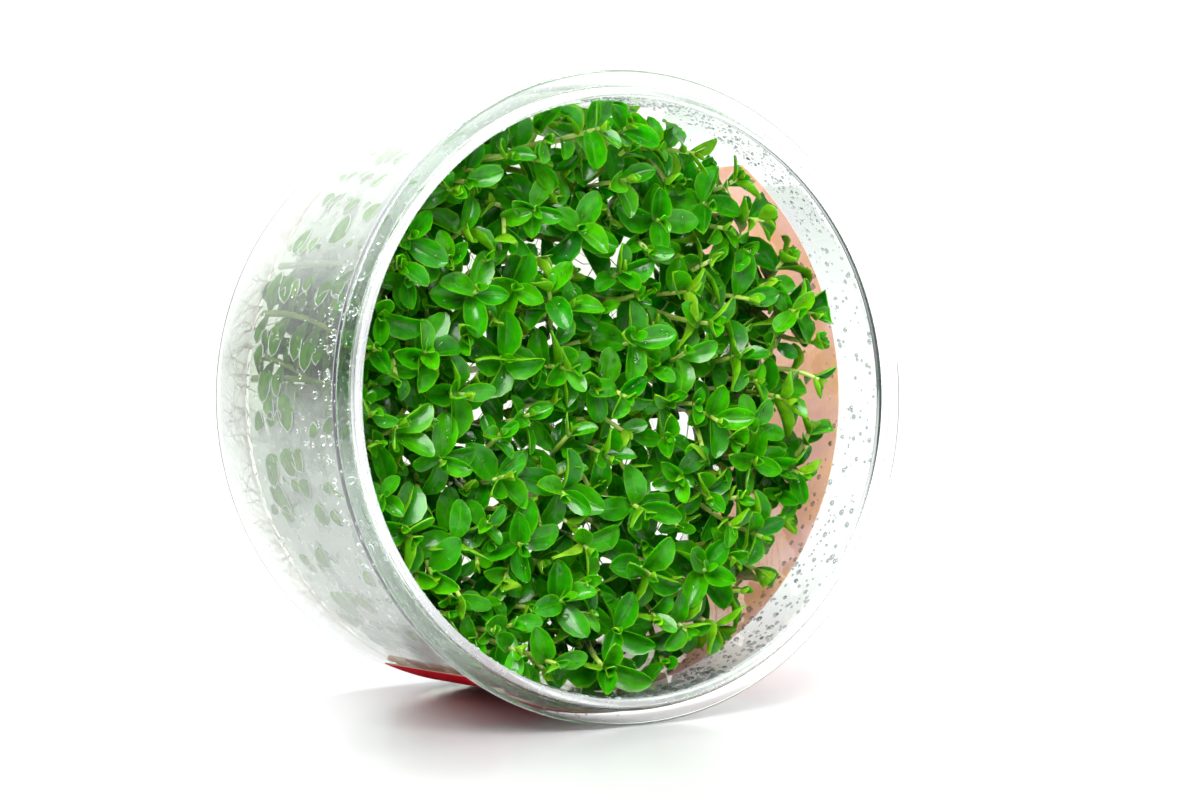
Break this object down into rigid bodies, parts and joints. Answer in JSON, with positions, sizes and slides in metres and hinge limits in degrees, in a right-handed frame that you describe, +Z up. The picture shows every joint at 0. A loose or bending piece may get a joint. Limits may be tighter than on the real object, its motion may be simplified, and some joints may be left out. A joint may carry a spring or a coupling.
{
  "type": "needle leaf ludwigia in a tissue-culture cup",
  "caption": "Bright green aquatic stem plant with small paired oval leaves, growing on gel in a clear round cup that lies on its side.",
  "frame": {"origin": "on the floor, under the middle of the lying cup", "axes": "+Z up, the open mouth towards -Y, the base towards +Y, +X to the right as one looks into the mouth"},
  "size_m": [0.1, 0.0614, 0.0996],
  "materials": {
    "clear_plastic": "gloss",
    "gel": "gloss",
    "label": "satin",
    "leaf": "satin"
  },
  "bodies": {
    "root": {"cup": "clear_plastic", "gel": "gel", "label": "label", "shoot_01": "leaf", "shoot_02": "leaf", "shoot_03": "leaf", "shoot_04": "leaf", "shoot_05": "leaf", "shoot_06": "leaf", "shoot_07": "leaf", "shoot_08": "leaf", "shoot_09": "leaf", "shoot_10": "leaf", "shoot_11": "leaf", "shoot_12": "leaf", "shoot_13": "leaf", "shoot_14": "leaf", "shoot_15": "leaf", "shoot_16": "leaf", "shoot_17": "leaf", "shoot_18": "leaf", "shoot_19": "leaf", "shoot_20": "leaf", "shoot_21": "leaf", "shoot_22": "leaf", "shoot_23": "leaf", "shoot_24": "leaf", "shoot_25": "leaf", "shoot_26": "leaf", "shoot_27": "leaf", "shoot_28": "leaf", "shoot_29": "leaf", "shoot_30": "leaf", "shoot_31": "leaf", "shoot_32": "leaf", "shoot_33": "leaf", "shoot_34": "leaf", "shoot_35": "leaf", "shoot_36": "leaf", "shoot_37": "leaf", "shoot_38": "leaf", "shoot_39": "leaf", "shoot_40": "leaf", "shoot_41": "leaf", "shoot_42": "leaf", "shoot_43": "leaf", "shoot_44": "leaf", "shoot_45": "leaf", "shoot_46": "leaf", "shoot_47": "leaf", "shoot_48": "leaf", "shoot_49": "leaf"}
  },
  "joints": []
}
